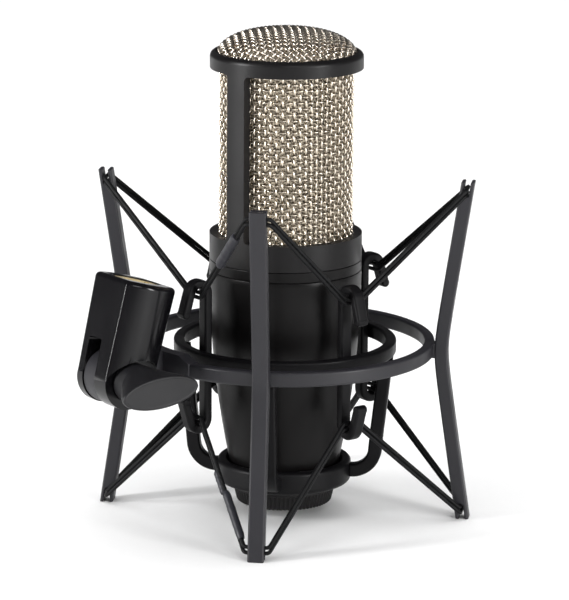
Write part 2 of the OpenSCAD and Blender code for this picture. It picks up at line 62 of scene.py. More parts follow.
joints = {j["name"]: j for j in frame["record"]["behaviour"]["joints"]}
mounts = {m["name"]: m for m in frame["record"]["mounts"]}


def low(node):
    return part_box(node)[0]


def high(node):
    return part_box(node)[1]


# Microphone
body_r = high("grille_frame").x
body_foot_z = low("body_tube").z
body_top_z = high("body_tube").z
narrow_z = 17 * MM
body_taper = 7.5 * MM
tube_t = 1.6 * MM
collar_z = low("grille_frame").z
collar_top_z = collar_z + 9.2 * MM
bezel_top_z = high("grille_frame").z
bezel_z = bezel_top_z - 5.8 * MM
side_bar_w = 7.7 * MM
crown_seat_z, crown_top_z = low("grille_crown").z, high("grille_crown").z
crown_r = high("grille_crown").x
mesh_r = high("grille_mesh").x
mesh_seat_z = low("grille_mesh").z
chamfer = 0.3 * MM

switches = ("pad_switch", "low_cut_switch")
switch_middle = sum((low(s) + high(s) for s in switches), Vector()) / 4
front_az = math.degrees(math.atan2(switch_middle.x, -switch_middle.y))
switch_z = low("pad_switch").z
switch_gap_deg = 15

# Woven wires
upright_r, level_r = 0.36 * MM, 0.28 * MM
bow, dip = 0.44 * MM, 0.24 * MM
weave_r = mesh_r - upright_r - bow

# Foot
neck_r = 15.2 * MM
xlr_r = 7.9 * MM

# Rings
ring_low_z, ring_top_z = low("outer_ring").z, high("outer_ring").z
ring_mid_z = (ring_low_z + ring_top_z) / 2
outer_ring_r = high("outer_ring").x
outer_ring_t = 3.5 * MM
inner_ring_r = high("inner_ring").x
inner_ring_t = 3.7 * MM

# Posts
post_h = high("post_front").z
post_end_r = high("post_right").x
post_waist_r = 57.4 * MM
post_bend = 6 * MM
post_t = 4.6 * MM
post_w = high("post_front").x - low("post_front").x
notch_w, notch_h = 2 * MM, 5.4 * MM

# Cradle arms and hooks
cradle_r = high("cradle").x
arm_t, arm_w = 4.7 * MM, 4.2 * MM
arm_foot_z, arm_knee_z = 15.6 * MM, 25 * MM
arm_top_r, arm_knee_r = 38.3 * MM - arm_t / 2, 34.6 * MM - arm_t / 2
arm_bend = 8.2 * MM
hook_w, hook_t = 4.4 * MM, 3.1 * MM
hook_bend_r = 3.5 * MM
hook_leg, hook_leg_deg = 8 * MM, 17
hook_bar_r = inner_ring_r - inner_ring_t - hook_t / 2 + 0.4 * MM
hook_top_z = high("hook_bar_left_front").z
hook_low_z = low("hook_bar_left_front").z

# Elastic cords
cord_d = 1.4 * MM
strand_pitch = 1.35 * cord_d

# Swivel
hinge = Vector(joints["socket_tilt"]["pos_m"])
pin = Vector(joints["socket_tilt"]["axis"]).normalized()
up = Vector(mounts["stand_thread"]["axis"]).normalized()
socket_len = (Vector(mounts["stand_thread"]["pos_m"]) - hinge).length + 0.4 * MM
leaning = Matrix.Translation(hinge) @ Matrix((pin.cross(up), pin, up)).transposed().to_4x4()
outward = Vector((hinge.x, hinge.y, 0)).normalized()
at_hinge = Matrix.Translation(hinge) @ Matrix((outward, pin, Vector((0, 0, 1)))).transposed().to_4x4()
ear_t = 8.6 * MM
knuckle_y, knuckle_w = -1.8 * MM, 6.4 * MM
slot_w, slot_depth = 7.2 * MM, 12 * MM
wall_r, bore_r = 9.8 * MM, 3.05 * MM
pin_gap_r = bore_r + 0.15 * MM
foot_r, mouth_r, mouth_half = 12.9 * MM, 13.9 * MM, 10.3 * MM
corner_r, mouth_edge = 0.8 * MM, 1.7 * MM
adapter_r, adapter_h = 7.9375 * MM, 11.6 * MM

quarters = ((0, "front"), (90, "right"), (180, "back"), (270, "left"))
diagonals = ((45, "right_front"), (135, "right_back"), (225, "left_back"), (315, "left_front"))


def at(az):
    """Turns what is drawn along +X to an azimuth, counted from -Y towards +X."""
    return Matrix.Rotation(math.radians(az - 90), 4, "Z")


def body_radius(z):
    """Outer radius of the tapering body tube."""
    return body_r - body_taper * ((body_top_z - z) / (body_top_z - narrow_z)) ** 2


def post_radius(z):
    """Radius to the middle of a post: a hyperbola about the post's waist."""
    reach = post_h / 2
    rise = (post_end_r - post_waist_r) / (math.hypot(reach, post_bend) - post_bend)
    return post_waist_r - post_t / 2 + rise * (math.hypot(z - reach, post_bend) - post_bend)


# ---- Mesh helpers ----


def new_object(name, verts, faces):
    mesh = bpy.data.meshes.new(name)
    mesh.from_pydata([tuple(v) for v in verts], [], faces)
    mesh.update()
    obj = bpy.data.objects.new(name, mesh)
    bpy.context.scene.collection.objects.link(obj)
    return obj


def tidy(obj):
    """Merges points that fall together and turns all faces outwards."""
    bm = bmesh.new()
    bm.from_mesh(obj.data)
    bmesh.ops.remove_doubles(bm, verts=bm.verts, dist=1e-7)
    bmesh.ops.dissolve_degenerate(bm, edges=bm.edges, dist=1e-8)
    bmesh.ops.recalc_face_normals(bm, faces=bm.faces)
    bm.to_mesh(obj.data)
    bm.free()
    return obj


def rounded(corners, steps=6):
    """Closed outline whose corners (x, y, r) are rounded to radius r, or left sharp without one."""
    out = []
    count = len(corners)
    for i, corner in enumerate(corners):
        p = Vector(corner[:2])
        if len(corner) < 3 or corner[2] == 0:
            out.append(tuple(p))
            continue
        a = (Vector(corners[i - 1][:2]) - p).normalized()
        b = (Vector(corners[(i + 1) % count][:2]) - p).normalized()
        half = a.angle(b) / 2
        centre = p + (a + b).normalized() * corner[2] / math.sin(half)
        start = p + a * corner[2] / math.tan(half) - centre
        end = p + b * corner[2] / math.tan(half) - centre
        turn = start.angle(end)
        for k in range(steps + 1):
            t = k / steps
            spoke = (start * math.sin((1 - t) * turn) + end * math.sin(t * turn)) / math.sin(turn)
            out.append(tuple(centre + spoke))
    return out


def arc(x, y, r, start, end, steps=12):
    """Points along an arc, angles in degrees."""
    angles = [math.radians(start + (end - start) * i / steps) for i in range(steps + 1)]
    return [(x + r * math.cos(a), y + r * math.sin(a)) for a in angles]


def lathe(name, outline, steps=192, place=None, wave=None):
    """Closed outline of (radius, height) turned about Z, less wave(i, angle) at outline point i."""
    count = len(outline)
    verts, faces = [], []
    for s in range(steps):
        a = TAU * s / steps
        for i, (r, z) in enumerate(outline):
            reach = r - (wave(i, a) if wave else 0)
            verts.append((reach * math.cos(a), reach * math.sin(a), z))
    for s in range(steps):
        n = (s + 1) % steps
        for i in range(count):
            k = (i + 1) % count
            faces.append((s * count + i, n * count + i, n * count + k, s * count + k))
    obj = tidy(new_object(name, verts, faces))
    if place is not None:
        obj.data.transform(place)
    return obj


def prism(name, outline, start, end, place):
    """Closed outline of (a, b) drawn out along c; place(a, b, c) says where a point goes."""
    count = len(outline)
    verts = [place(a, b, c) for c in (start, end) for a, b in outline]
    faces = [tuple(range(count)), tuple(range(2 * count - 1, count - 1, -1))]
    faces += [(i, i + count, (i + 1) % count + count, (i + 1) % count) for i in range(count)]
    return tidy(new_object(name, verts, faces))


def through(turn):
    """For prism: the outline lies across and up, and it is drawn out along the turned X."""
    return lambda a, b, c: turn @ Vector((c, a, b))


def beside(turn):
    """For prism: the outline lies along the turned X and up, and it is drawn out to the side."""
    return lambda a, b, c: turn @ Vector((a, c, b))


def cut(obj, *tools, how="DIFFERENCE"):
    """Booleans obj with the tools, which are used up."""
    for tool in tools:
        m = obj.modifiers.new("cut", "BOOLEAN")
        m.operation, m.object, m.solver = how, tool, "EXACT"
    mesh = bpy.data.meshes.new_from_object(obj.evaluated_get(bpy.context.evaluated_depsgraph_get()))
    obj.modifiers.clear()
    obj.data = mesh
    for tool in tools:
        bpy.data.objects.remove(tool, do_unlink=True)
    return obj


def merge(obj, *others):
    """Adds other meshes to obj as loose shells."""
    bm = bmesh.new()
    bm.from_mesh(obj.data)
    for other in others:
        bm.from_mesh(other.data)
        bpy.data.objects.remove(other, do_unlink=True)
    bm.to_mesh(obj.data)
    bm.free()
    return obj


def sweep(name, path, section, az, level_ends=False):
    """Section of (across, side) points along a path of (radius, height) points, at an azimuth."""
    turn = at(az)
    verts, faces = [], []
    count = len(section)
    points = [Vector(p) for p in path]
    for i, p in enumerate(points):
        along = (points[min(i + 1, len(points) - 1)] - points[max(i - 1, 0)]).normalized()
        across = Vector((-along.y, along.x))
        for a, side in section:
            q = p + across * a
            if level_ends and i in (0, len(points) - 1):
                q += along * ((p.y - q.y) / along.y)
            verts.append(turn @ Vector((q.x, side, q.y)))
    for i in range(len(points) - 1):
        for j in range(count):
            k = (j + 1) % count
            faces.append((i * count + j, (i + 1) * count + j, (i + 1) * count + k, i * count + k))
    last = (len(points) - 1) * count
    faces += [tuple(range(count)), tuple(range(last + count - 1, last - 1, -1))]
    return tidy(new_object(name, verts, faces))


def tube_mesh(points, radius, sides, closed, verts, faces, across_scale=1.0):
    """Adds a tube along points to verts and faces; radius may be a function of the share of the way."""
    n = len(points)
    base = len(verts)
    normal = None
    for i, p in enumerate(points):
        ahead = points[(i + 1) % n] if closed or i < n - 1 else points[i]
        behind = points[i - 1] if closed or i > 0 else points[i]
        along = (ahead - behind).normalized()
        if closed or normal is None:
            level = along.cross(Vector((0, 0, 1)))
            level = level.normalized() if level.length > 1e-6 else Vector((1, 0, 0))
        else:
            level = (normal - along * normal.dot(along)).normalized()
        normal = level
        upward = level.cross(along)
        r = radius(i / (n - 1)) if callable(radius) else radius
        for s in range(sides):
            a = TAU * s / sides
            verts.append(p + r * (across_scale * math.cos(a) * level + math.sin(a) * upward))
    rings = n if closed else n - 1
    for i in range(rings):
        j = (i + 1) % n
        for s in range(sides):
            k = (s + 1) % sides
            this, that = base + i * sides, base + j * sides
            faces.append((this + s, this + k, that + k, that + s))
    if not closed:
        faces.append(tuple(base + s for s in range(sides)))
        faces.append(tuple(base + (n - 1) * sides + s for s in range(sides - 1, -1, -1)))


def dress(obj, material, body=None, replaces=(), bevel=0.0, angle=32, segments=3,
          sharp=None):
    """Material, smooth edges, the body the piece rides on and the CAD nodes it stands for."""
    obj.data.materials.clear()
    obj.data.materials.append(material)
    obj.data.polygons.foreach_set("use_smooth", [True] * len(obj.data.polygons))
    if sharp:
        obj.data.set_sharp_from_angle(angle=math.radians(sharp))
    if bevel:
        m = obj.modifiers.new("edges", "BEVEL")
        m.width, m.segments = bevel, segments
        m.limit_method, m.angle_limit = "ANGLE", math.radians(angle)
        m.miter_outer = "MITER_ARC"
    m = obj.modifiers.new("normals", "WEIGHTED_NORMAL")
    m.keep_sharp = True
    if body:
        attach(obj, body)
    if replaces:
        if obj.name.split(".")[0] in frame["nodes"]:
            obj.name = replaces[0] + "_skin"
        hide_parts(*replaces)
    return obj


# ---- Finishes: a shader with grain in its bump and colour, and patches in its roughness ----

# Sockets of a Mix node that mixes colours, by number, because their names repeat
MIX_SHARE, MIX_A, MIX_B, MIX_RESULT = 0, 6, 7, 2


def noise(nodes, links, place, scale, detail):
    node = nodes.new("ShaderNodeTexNoise")
    node.inputs["Scale"].default_value = scale
    node.inputs["Detail"].default_value = detail
    links.new(place, node.inputs["Vector"])
    return node.outputs["Fac"]


def remap(nodes, links, value, source, target=(0, 1)):
    """Runs a value from one range of numbers to another."""
    node = nodes.new("ShaderNodeMapRange")
    node.inputs["From Min"].default_value, node.inputs["From Max"].default_value = source
    node.inputs["To Min"].default_value, node.inputs["To Max"].default_value = target
    links.new(value, node.inputs["Value"])
    return node.outputs["Result"]


def finish(name, colour, rough, metal=0.0, grain=4000, depth=0.02, spread=0.08, shade=0.12,
           specular=0.5, coat=0.0, stretch=(1, 1, 1), pattern=None):
    """Grain of a scale, a bump depth in mm and a shade in colour; roughness spreads in patches."""
    material = bpy.data.materials.new(name)
    material.use_nodes = True
    nodes, links = material.node_tree.nodes, material.node_tree.links
    shader = next(n for n in nodes if n.type == "BSDF_PRINCIPLED")
    shader.inputs["Metallic"].default_value = metal
    shader.inputs["Specular IOR Level"].default_value = specular
    shader.inputs["Coat Weight"].default_value = coat
    shader.inputs["Coat Roughness"].default_value = 0.25
    place = nodes.new("ShaderNodeTexCoord").outputs["Object"]
    scaled = nodes.new("ShaderNodeMapping")
    scaled.inputs["Scale"].default_value = stretch
    links.new(place, scaled.inputs["Vector"])
    clouds = noise(nodes, links, place, 90, 4)
    fine = noise(nodes, links, scaled.outputs["Vector"], grain, 2)
    smoothest, roughest = max(rough - spread, 0.02), min(rough + spread, 1)
    roughness = remap(nodes, links, clouds, (0.3, 0.7), (smoothest, roughest))
    links.new(roughness, shader.inputs["Roughness"])
    tone = nodes.new("ShaderNodeMix")
    tone.data_type = "RGBA"
    tone.inputs[MIX_A].default_value = (*[c * (1 - shade) for c in colour], 1)
    tone.inputs[MIX_B].default_value = (*[min(c * (1 + shade), 1) for c in colour], 1)
    links.new(fine, tone.inputs[MIX_SHARE])
    links.new(tone.outputs[MIX_RESULT], shader.inputs["Base Color"])
    bump = nodes.new("ShaderNodeBump")
    bump.inputs["Strength"].default_value = 0.6
    bump.inputs["Distance"].default_value = depth * MM
    height = pattern(nodes, links, place, fine) if pattern else fine
    links.new(height, bump.inputs["Height"])
    links.new(bump.outputs["Normal"], shader.inputs["Normal"])
    return material


def braid(nodes, links, place, height):
    """Fine braid: two sets of slanting bands over the grain."""
    total = height
    for slope in (1, -1):
        turned = nodes.new("ShaderNodeMapping")
        turned.inputs["Rotation"].default_value = (0.6 * slope, 0.8, 0.5 * slope)
        links.new(place, turned.inputs["Vector"])
        bands = nodes.new("ShaderNodeTexWave")
        bands.inputs["Scale"].default_value = 420
        links.new(turned.outputs["Vector"], bands.inputs["Vector"])
        add = nodes.new("ShaderNodeMath")
        add.operation = "ADD"
        links.new(total, add.inputs[0])
        links.new(bands.outputs["Fac"], add.inputs[1])
        total = add.outputs["Value"]
    return total


def mesh_specks(nodes, links, place, height):
    """Fine wire screen: bright wires and dark holes at the scale of the grain."""
    tone = next(n for n in nodes if n.type == "MIX")
    tone.inputs[MIX_A].default_value = (0.040, 0.030, 0.019, 1)
    tone.inputs[MIX_B].default_value = (0.88, 0.77, 0.60, 1)
    links.new(remap(nodes, links, height, (0.42, 0.58)), tone.inputs[MIX_SHARE])
    return height


def paint_shade(nodes, links, share):
    """Paints shade into a finish: keeps its own colour where share is 1 and darkens it towards a painted
    shade colour at share 0.
    """
    tone = next(n for n in nodes if n.type == "MIX")
    shader = next(n for n in nodes if n.type == "BSDF_PRINCIPLED")
    shaded = nodes.new("ShaderNodeMix")
    shaded.data_type = "RGBA"
    # painted shade colour that the wire colour is darkened towards
    shaded.inputs[MIX_A].default_value = (0.33, 0.28, 0.215, 1)
    links.new(tone.outputs[MIX_RESULT], shaded.inputs[MIX_B])
    links.new(share, shaded.inputs[MIX_SHARE])
    links.new(shaded.outputs[MIX_RESULT], shader.inputs["Base Color"])


def shade_inside_weave(nodes, links, place, height):
    """Painted shade: wires of the round grille are darkened towards the inside of the weave, where their
    under runs lie in shade.
    """
    flat = nodes.new("ShaderNodeVectorMath")
    flat.operation = "MULTIPLY"
    flat.inputs[1].default_value = (1, 1, 0)
    links.new(place, flat.inputs[0])
    size = nodes.new("ShaderNodeVectorMath")
    size.operation = "LENGTH"
    links.new(flat.outputs["Vector"], size.inputs[0])
    # radii over which the painted shade fades from full, inside, to none, outside
    shaded_r, unshaded_r = weave_r + 0.05 * MM, weave_r + 0.55 * MM
    paint_shade(nodes, links, remap(nodes, links, size.outputs["Value"], (shaded_r, unshaded_r)))
    return height


def shade_crowded_wires(nodes, links, place, height):
    """Painted shade: wires of the crown are darkened by ambient occlusion where others crowd them."""
    crowd = nodes.new("ShaderNodeAmbientOcclusion")
    crowd.samples = 6
    crowd.inputs["Distance"].default_value = 1.5 * MM
    # the occlusion is turned into painted shade in the wire colour
    paint_shade(nodes, links, remap(nodes, links, crowd.outputs["AO"], (0.35, 0.80)))
    return height


powder = finish("satin_black", (0.0033, 0.0029, 0.0030), 0.38, grain=2600, depth=0.004, specular=0.18)
casting = finish("casting_black", (0.0052, 0.0047, 0.0050), 0.40, grain=3000, depth=0.006, specular=0.24)
frame_nylon = finish("mount_grey_black", (0.0140, 0.0135, 0.0168), 0.48, grain=3000, depth=0.022,
                     specular=0.42)
# The cage's nylon is set darker than the outer frame's.
cage_nylon = finish("cage_black", (0.0032, 0.0030, 0.0036), 0.44, grain=4200, depth=0.010, specular=0.16)
gloss = finish("socket_black", (0.0036, 0.0034, 0.0042), 0.20, grain=1800, depth=0.002, spread=0.03,
               specular=0.32)
knob_skin = finish("knob_black", (0.0062, 0.0060, 0.0072), 0.50, grain=4500, depth=0.010, specular=0.44)
# Both wire finishes carry painted shade: darker towards the inside of the weave, and where crown wires
# crowd each other.
wire = finish("champagne_wire", (0.90, 0.81, 0.69), 0.28, metal=1.0, grain=3000, depth=0.01, spread=0.1,
              shade=0.1, pattern=shade_inside_weave)
crown_wire = finish("crown_wire", (0.86, 0.78, 0.68), 0.30, metal=1.0, grain=3000, depth=0.01, spread=0.1,
                    shade=0.1, pattern=shade_crowded_wires)
cloth = finish("screen_cloth", (0.20, 0.175, 0.14), 0.50, metal=0.3, grain=2000, depth=0.08, shade=0.9,
               pattern=mesh_specks)
aluminium = finish("bare_aluminium", (0.62, 0.62, 0.63), 0.35, metal=1.0, grain=900, stretch=(1, 1, 12),
                   depth=0.01)
brass = finish("adapter_brass", (0.84, 0.68, 0.38), 0.24, metal=0.55, grain=1500, stretch=(1, 1, 6),
               depth=0.01)
capsule_metal = finish("capsule_brass", (0.70, 0.55, 0.28), 0.3, metal=1.0, grain=1800, depth=0.01)
film = finish("gold_film", (0.88, 0.70, 0.32), 0.22, metal=1.0, grain=600, depth=0.01)
steel = finish("small_screws", (0.60, 0.60, 0.60), 0.32, metal=1.0, grain=2500, depth=0.01)
contact = finish("contact_gold", (0.85, 0.66, 0.30), 0.2, metal=1.0, grain=3000, depth=0.005)
board = finish("board_green", (0.03, 0.12, 0.06), 0.4, grain=2200, depth=0.02, coat=0.3)
parts_blue = finish("component_blue", (0.03, 0.05, 0.14), 0.35, grain=2500, depth=0.01, coat=0.2)
plastic = finish("switch_black", (0.008, 0.008, 0.008), 0.45, grain=4500, depth=0.01, specular=0.35)
rubber = finish("saddle_rubber", (0.012, 0.012, 0.012), 0.7, grain=3500, depth=0.03, specular=0.25)
elastic = finish("elastic_black", (0.0035, 0.0035, 0.0040), 0.55, grain=5000, depth=0.06, specular=0.20,
                 pattern=braid)
sleeve = finish("sleeve_black", (0.022, 0.022, 0.028), 0.42, grain=1500, depth=0.05, specular=0.40)

# ---- Microphone: grille casting, band, body ----


def make_grille_frame():
    edge_r, rim_edge, window_corner = 2.0 * MM, 0.35 * MM, 1.5 * MM
    obj = lathe("grille_casting", rounded([
        (mesh_r, collar_z), (body_r, collar_z, chamfer), (body_r, bezel_top_z, edge_r),
        (crown_r, bezel_top_z, rim_edge), (crown_r, crown_seat_z), (mesh_r, crown_seat_z),
    ]), steps=256)
    for way in (-1, 1):
        window = prism("window", rounded([
            (way * side_bar_w / 2, collar_top_z, window_corner), (way * 2 * body_r, collar_top_z),
            (way * 2 * body_r, bezel_z), (way * side_bar_w / 2, bezel_z, window_corner),
        ]), -2 * body_r, 2 * body_r, through(at(front_az + 90)))
        cut(obj, window)
    dress(obj, casting, "suspended", ["grille_frame"], bevel=0.35 * MM, angle=40)


def make_band():
    obj = lathe("band_ring", rounded([
        (mesh_r, body_top_z), (body_r, body_top_z, chamfer), (body_r, collar_z, chamfer),
        (mesh_r, collar_z),
    ], 4), steps=192)
    dress(obj, powder, "suspended", ["band_ring"])


def make_body():
    rows = 40
    opening_w, opening_foot, opening_top, opening_corner = 3 * MM, 0.2 * MM, 5.4 * MM, 0.6 * MM
    heights = [body_foot_z + (body_top_z - body_foot_z) * i / rows for i in range(rows + 1)]
    skin = [(body_radius(z), z) for z in heights]
    skin = skin[:-1] + [(body_r, body_top_z - chamfer), (body_r - chamfer, body_top_z)]
    inner = [(body_radius(z) - tube_t, z) for z in reversed(heights)]
    obj = lathe("body_tube", skin + inner, steps=192)
    for way in (-1, 1):
        opening = prism("slot", rounded([
            (-opening_w / 2, switch_z - opening_foot, opening_corner),
            (opening_w / 2, switch_z - opening_foot, opening_corner),
            (opening_w / 2, switch_z + opening_top, opening_corner),
            (-opening_w / 2, switch_z + opening_top, opening_corner),
        ]), body_r - 6 * MM, body_r + 2 * MM, through(at(front_az + way * switch_gap_deg)))
        cut(obj, opening)
    dress(obj, powder, "suspended", ["body_tube"], bevel=0.2 * MM, angle=50, segments=2)


make_grille_frame()
make_band()
make_body()

# ---- Woven grille: upright wires that bow out over the level ones, plain weave ----

upright_count = 72
level_pitch = 2.04 * MM
level_start = mesh_seat_z + level_r
levels = int((crown_seat_z - mesh_seat_z - 2 * level_r) / level_pitch)
points_a_step = 6
wire_sides = 7


def weave_wave(x):
    """Over and under: rounded shoulders with short slopes between them."""
    c = math.cos(x)
    return math.copysign(abs(c) ** 0.8, c)


def make_upright_wires():
    verts, faces = [], []
    for i in range(upright_count):
        a = TAU * i / upright_count + random.uniform(-0.004, 0.004)
        sway = random.uniform(-0.0015, 0.0015)
        points = []
        for k in range(levels * points_a_step + 1):
            step = k / points_a_step
            r = weave_r + bow * (-1) ** i * weave_wave(math.pi * step)
            b = a + sway * math.sin(step * 0.7 + i)
            points.append(Vector((r * math.cos(b), r * math.sin(b), level_start + step * level_pitch)))
        tube_mesh(points, upright_r, wire_sides, False, verts, faces)
    obj = new_object("grille_upright_wires", verts, faces)
    dress(obj, wire, "suspended", ["grille_mesh"])


def make_level_wires():
    pressed_in, unevenness, ripple = 0.06 * MM, 0.05, 0.04 * MM
    around = upright_count * points_a_step
    verts, faces = [], []
    for j in range(levels + 1):
        z = level_start + j * level_pitch + random.uniform(-unevenness, unevenness) * MM
        points = []
        for k in range(around):
            a = TAU * k / around
            r = weave_r - pressed_in - dip * (-1) ** j * weave_wave(upright_count / 2 * a)
            points.append(Vector((r * math.cos(a), r * math.sin(a), z + ripple * math.sin(3 * a + j))))
        tube_mesh(points, level_r, wire_sides, True, verts, faces)
    obj = new_object("grille_level_wires", verts, faces)
    dress(obj, wire, "suspended", ["grille_mesh"])


make_upright_wires()
make_level_wires()

# ---- Crown: a square weave drawn into a dome, lengths along the sheet kept from the middle out ----

crown_wire_r, crown_bow = 0.38 * MM, 0.34 * MM
crown_pitch = 1.95 * MM
dome_r = crown_r - crown_wire_r - crown_bow
dome_h = crown_top_z - crown_seat_z - crown_wire_r - crown_bow
dome_steps = 400


def dome_z(x):
    return dome_h * math.sqrt(max(0.0, 1 - (x / dome_r) ** 2.4))


radii = [dome_r * math.sin(TAU / 4 * i / dome_steps) for i in range(dome_steps + 1)]
lengths = [0.0]
for near, far in zip(radii, radii[1:]):
    lengths.append(lengths[-1] + math.hypot(far - near, dome_z(far) - dome_z(near)))


def dome_point(a, b, lift):
    """Point of the sheet (a, b) on the dome, lifted along its outward direction; None beyond the rim."""
    q = math.hypot(a, b)
    if q > lengths[-1] or q < 1e-9:
        return None if q > 1 * MM else Vector((0, 0, crown_seat_z + dome_h + lift))
    k = next(i for i in range(1, dome_steps + 1) if lengths[i] >= q)
    t = (q - lengths[k - 1]) / (lengths[k] - lengths[k - 1])
    x = radii[k - 1] + t * (radii[k] - radii[k - 1])
    dx, dz = radii[k] - radii[k - 1], dome_z(radii[k]) - dome_z(radii[k - 1])
    size = math.hypot(dx, dz)
    x, z = x - lift * dz / size, dome_z(x) + lift * dx / size
    return Vector((x * a / q, x * b / q, crown_seat_z + z))


def crown_run(family, i, reach):
    """Points of one crown wire: wire i of the wires along one way (0) or the other (1)."""
    run = []
    for k in range(-reach * points_a_step, reach * points_a_step + 1):
        forth = k / points_a_step * crown_pitch
        aside = (i + random.uniform(-0.015, 0.015)) * crown_pitch
        lift = crown_bow * (-1) ** (i + family) * weave_wave(math.pi * k / points_a_step)
        point = dome_point(forth, aside, lift) if family else dome_point(aside, forth, lift)
        if point is not None:
            run.append(at(front_az) @ point)
    return run


def make_crown():
    reach = int(lengths[-1] / crown_pitch) + 1
    shortest = 6
    verts, faces = [], []
    for family in (0, 1):
        for i in range(-reach, reach + 1):
            run = crown_run(family, i, reach)
            if len(run) > shortest:
                tube_mesh(run, crown_wire_r, 8, False, verts, faces)
    obj = new_object("crown_weave", verts, faces)
    dress(obj, crown_wire, "suspended", ["grille_crown"])


def make_screen():
    r, top, sheet_t = high("inner_screen").x - 0.25 * MM, high("inner_screen").z, 0.4 * MM
    obj = lathe("fine_screen", rounded([
        (r, mesh_seat_z), (r, top, 0.5 * MM), (0, top), (0, top - sheet_t),
        (r - sheet_t, top - sheet_t), (r - sheet_t, mesh_seat_z),
    ]), steps=144)
    dress(obj, cloth, "suspended", ["inner_screen"])


make_crown()
make_screen()

# ---- Foot of the microphone: threaded neck, connector, lock ring ----

insert_low, insert_high = low("xlr_insert").z, high("xlr_insert").z
insert_face_z = insert_low + 0.5 * MM


def make_base_cap():
    thread_depth, flank, crest, pitch = 0.28 * MM, 0.4 * MM, 0.1 * MM, 1.0 * MM
    lead_in, runout = 0.6 * MM, 2.4 * MM
    foot_z, top_z, cap_r = low("base_cap").z, high("base_cap").z, high("base_cap").x
    thread = []
    z = foot_z + lead_in
    while z < body_foot_z - runout:
        thread += [(neck_r - thread_depth, z), (neck_r, z + flank)]
        thread += [(neck_r, z + flank + crest), (neck_r - thread_depth, z + 2 * flank + crest)]
        z += pitch
    obj = lathe("base_cap", [(xlr_r + 0.4 * MM, foot_z), (neck_r - lead_in, foot_z)] + thread + [
        (neck_r, body_foot_z - runout / 2), (neck_r, body_foot_z), (cap_r, body_foot_z), (cap_r, top_z),
        (xlr_r, top_z), (xlr_r, foot_z + 0.4 * MM),
    ], steps=160)
    dress(obj, casting, "suspended", ["base_cap"], sharp=28)


def make_connector():
    insert_r, rim_w, rim_edge = xlr_r - 0.02 * MM, 1.6 * MM, 0.2 * MM
    obj = lathe("connector_insert", rounded([
        (0, insert_low), (xlr_r - rim_w, insert_low, rim_edge), (xlr_r - 1.5 * MM, insert_face_z),
        (insert_r, insert_face_z, rim_edge), (insert_r, insert_high), (0, insert_high),
    ]), steps=96)
    dress(obj, plastic, "suspended", ["xlr_insert"], sharp=40)


def make_contacts():
    pin_r, pin_circle_r = 1.18 * MM, 4 * MM
    tip_z = low("xlr_pins").z
    tip = [(pin_r * math.cos(math.radians(t)), tip_z + pin_r * (1 - math.sin(math.radians(t))))
           for t in range(75, -1, -15)]
    outline = [(0, tip_z)] + tip + [(pin_r, insert_face_z), (0, insert_face_z)]
    pins = []
    for az in (0, 180, 270):
        place = Matrix.Rotation(math.radians(az), 4, "Z") @ Matrix.Translation((pin_circle_r, 0, 0))
        pins.append(lathe("pin", outline, 24, place))
    obj = merge(*pins)
    obj.name = "connector_pins"
    dress(obj, contact, "suspended", ["xlr_pins"], sharp=50)


def make_lock_ring():
    """A plain rim at the top, and a knurled skirt that tapers below it."""
    ridges, groove_depth, skirt_in, bore = 72, 0.5 * MM, 0.4 * MM, neck_r + 0.08 * MM
    foot_z, top_z, r = low("lock_ring").z, high("lock_ring").z, high("lock_ring").x
    outline = rounded([
        (bore, foot_z, 0.3 * MM), (r - 1.6 * MM, foot_z, 0.9 * MM),
        (r - skirt_in, top_z - 1.5 * MM), (r - skirt_in, top_z - 1.2 * MM),
        (r, top_z - 1.1 * MM, 0.1 * MM), (r, top_z, 0.25 * MM), (bore, top_z, 0.2 * MM),
    ], 4)
    grooved = [x > r - 2.4 * MM and z < top_z - 1.4 * MM for x, z in outline]

    def knurl(i, a):
        return groove_depth * abs(math.sin(ridges / 2 * a)) ** 1.5 if grooved[i] else 0.0

    obj = lathe("lock_ring", outline, steps=ridges * 8, wave=knurl)
    dress(obj, casting, "lock_nut", ["lock_ring"], sharp=50)


make_base_cap()
make_connector()
make_contacts()
make_lock_ring()

# ---- Cage: cradle, arms, rings, hooks ----


def make_cradle():
    bore, pocket_r = neck_r + 0.2 * MM, 20.2 * MM
    foot_z, top_z = low("cradle").z, high("cradle").z
    obj = lathe("cradle", rounded([
        (bore, foot_z, 0.3 * MM), (cradle_r, foot_z, 2.0 * MM), (cradle_r, top_z, 1.5 * MM),
        (pocket_r, top_z, 0.9 * MM), (pocket_r, body_foot_z), (bore, body_foot_z),
    ]))
    dress(obj, cage_nylon, "suspended", ["cradle"])


def make_ring(name, inside, outside, material, body):
    corners = ((inside, ring_low_z), (outside, ring_low_z), (outside, ring_top_z), (inside, ring_top_z))
    obj = lathe(name, rounded([(r, z, 0.95 * MM) for r, z in corners]), steps=256)
    dress(obj, material, body, [name])


def bar_section(t, w, r):
    return rounded([(t / 2, -w / 2, r), (t / 2, w / 2, r), (-t / 2, w / 2, r), (-t / 2, -w / 2, r)], 4)


def make_arm(az, side):
    parts = 6
    out, rise = arm_knee_r - arm_top_r, arm_knee_z - ring_low_z
    path = [(arm_top_r, ring_low_z + 1 * MM)]
    path += [(arm_top_r + out * i / parts, ring_low_z + rise * i / parts) for i in range(1, parts)]
    path += arc(arm_knee_r - arm_bend, arm_foot_z + arm_bend, arm_bend, -6, -90, 14)
    path += [(cradle_r - 1.5 * MM, arm_foot_z)]
    obj = sweep("cradle_arm_" + side, path, bar_section(arm_t, arm_w, 0.8 * MM), az)
    dress(obj, cage_nylon, "suspended", ["cradle_arm_" + side])


